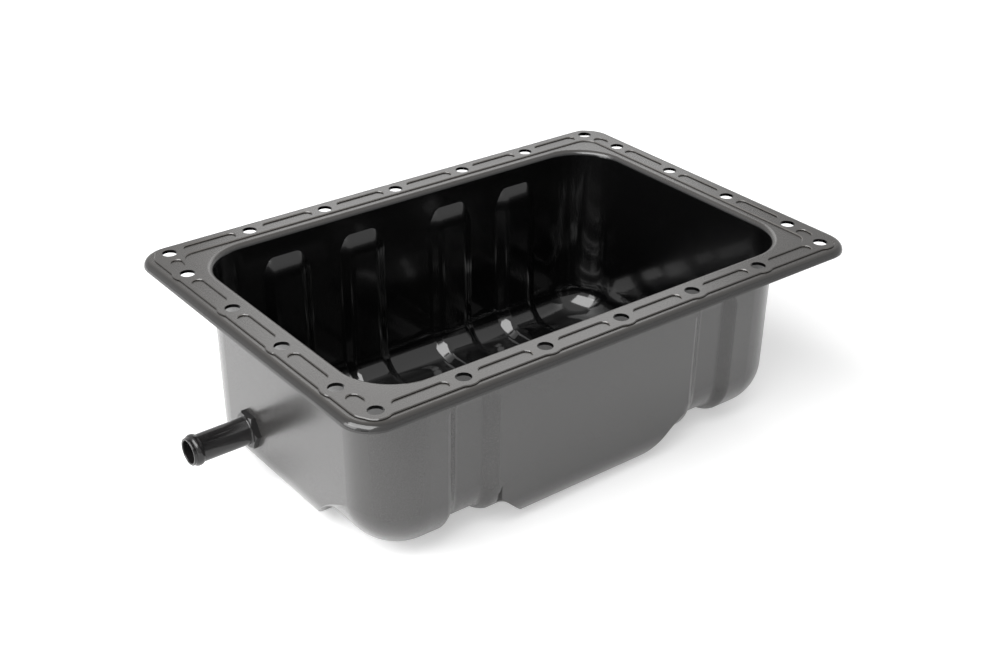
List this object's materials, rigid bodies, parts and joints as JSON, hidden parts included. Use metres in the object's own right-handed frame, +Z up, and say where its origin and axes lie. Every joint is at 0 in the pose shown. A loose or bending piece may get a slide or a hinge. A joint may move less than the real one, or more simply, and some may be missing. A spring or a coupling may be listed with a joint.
{
  "type": "engine oil pan",
  "caption": "Deep-drawn sheet steel engine oil pan with a bolted gasket flange, ribbed sump and a hose nipple in the end wall.",
  "frame": {"origin": "centre of the bolt pattern on the top of the gasket rail", "axes": "+Z up out of the open mouth, X along the pan with the hose nipple at -X, Y across it"},
  "size_m": [0.396, 0.2614, 0.131],
  "materials": {
    "black_paint": "satin black paint on pressed steel",
    "nipple_black": "gloss black paint on turned steel"
  },
  "bodies": {
    "root": {"oil_pan_shell": "black_paint", "hose_nipple": "nipple_black", "weld_boss": "black_paint"}
  },
  "joints": []
}
